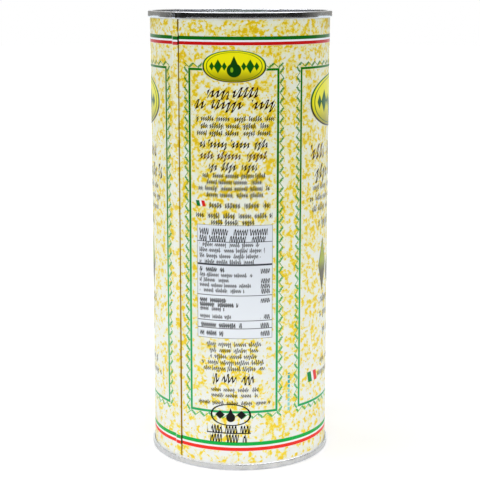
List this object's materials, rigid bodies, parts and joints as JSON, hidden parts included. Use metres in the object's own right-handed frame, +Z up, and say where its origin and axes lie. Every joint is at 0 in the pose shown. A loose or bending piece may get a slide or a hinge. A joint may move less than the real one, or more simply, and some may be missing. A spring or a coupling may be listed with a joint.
{
  "type": "oil tin",
  "caption": "Tall round printed tinplate oil tin with bare seamed rims and a pull-up pouring spout with a screw cap sunk in its top end, to store and pour cooking oil.",
  "frame": {"origin": "centre of the base, in the plane that the bottom rim stands on", "axes": "+Z up along the tin's axis; the printed front faces -Y"},
  "size_m": [0.0858, 0.0858, 0.21],
  "materials": {
    "printed_tinplate": "glossy varnished print on tinplate",
    "tinplate": "bare bright tinplate",
    "sealing_compound": "matt cured sealing compound",
    "spout_plastic": "natural flexible polyethylene",
    "cap_plastic": "moulded green polyethylene",
    "liner_foam": "white foamed polyethylene disc"
  },
  "bodies": {
    "tin": {"can_body": "printed_tinplate", "side_seam_sealant": "sealing_compound", "top_end": "tinplate", "bottom_end": "tinplate", "top_seam_compound": "sealing_compound", "bottom_seam_compound": "sealing_compound", "crimp_ring": "tinplate", "spout_neck": "spout_plastic"},
    "spout": {"spout_nozzle": "spout_plastic", "tamper_band": "cap_plastic"},
    "liner": {"cap_liner": "liner_foam"},
    "cap": {"cap": "cap_plastic"},
    "front_bail": {"front_bail": "cap_plastic"},
    "rear_bail": {"rear_bail": "cap_plastic"}
  },
  "joints": [
    {"name": "spout_pull", "type": "slide", "parent": "tin", "child": "spout", "axis": [0, 0, 1], "range_m": [0, 0.024], "deforming": ["spout_neck"]},
    {"name": "cap_lift", "type": "slide", "parent": "spout", "child": "liner", "axis": [0, 0, 1], "range_m": [0, 0.01]},
    {"name": "cap_turn", "type": "hinge", "parent": "liner", "child": "cap", "pos_m": [0, 0, 0.20566], "axis": [0, 0, 1], "range_deg": [0, 900]},
    {"name": "front_bail_fold", "type": "hinge", "parent": "cap", "child": "front_bail", "pos_m": [0, -0.0014, 0.20731], "axis": [-1, 0, 0], "range_deg": [0, 90]},
    {"name": "rear_bail_fold", "type": "hinge", "parent": "cap", "child": "rear_bail", "pos_m": [0, 0.0014, 0.20731], "axis": [1, 0, 0], "range_deg": [0, 90]}
  ],
  "couplings": [
    {"joint": "cap_lift", "follows": "cap_turn", "m_per_rad": 0.00063661}
  ]
}
